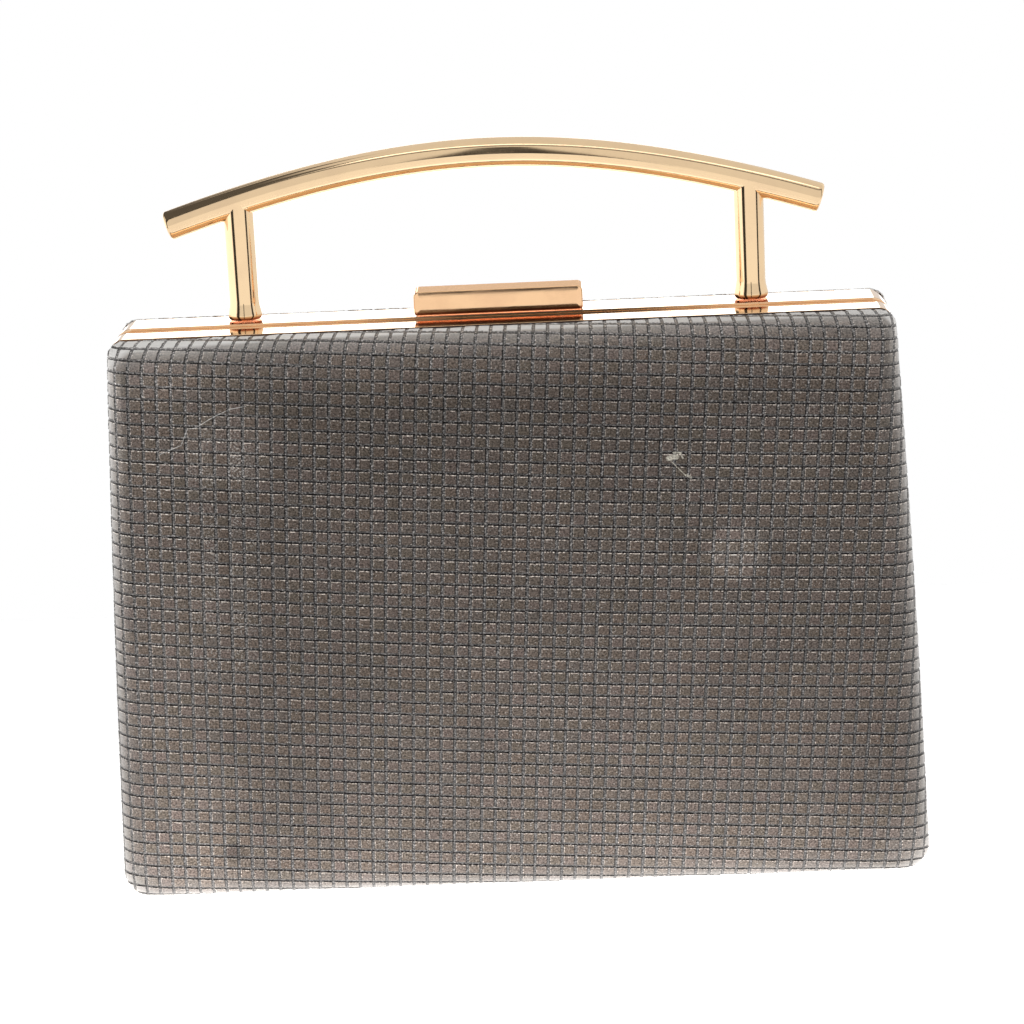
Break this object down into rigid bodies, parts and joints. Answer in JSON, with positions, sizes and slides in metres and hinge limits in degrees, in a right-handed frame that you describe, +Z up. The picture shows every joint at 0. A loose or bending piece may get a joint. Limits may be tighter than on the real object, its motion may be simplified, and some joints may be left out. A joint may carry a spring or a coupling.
{
  "type": "evening clutch",
  "caption": "Hard-shell evening clutch with bulged embossed shells in polished metal rims, hinged at the bottom, with a bar clasp and a fixed bow handle.",
  "frame": {"origin": "middle of the base, on the surface that the clutch stands on, below the plane where its halves meet", "axes": "+X to the right seen from the front, +Y to the back, +Z up"},
  "size_m": [0.2038, 0.0458, 0.1872],
  "materials": {
    "cover": "pewter-taupe metallic sheet embossed with small squares",
    "rim": "polished warm gold plating",
    "handle": "polished pale gold plating with light wear",
    "clasp": "polished rose gold plating",
    "hinge": "satin gold plating"
  },
  "bodies": {
    "back": {"back_shell": "cover", "back_rim": "rim", "handle": "handle", "hinge_rod": "hinge"},
    "front": {"front_shell": "cover", "front_rim": "rim"},
    "clasp": {"clasp_bar": "clasp"}
  },
  "joints": [
    {"name": "lid_hinge", "type": "hinge", "parent": "back", "child": "front", "pos_m": [0, 0, 0.0011], "axis": [1, 0, 0], "range_deg": [0, 60]},
    {"name": "clasp_lever", "type": "hinge", "parent": "back", "child": "clasp", "pos_m": [0, 0.0063, 0.1449], "axis": [-1, 0, 0], "range_deg": [0, 25]}
  ]
}
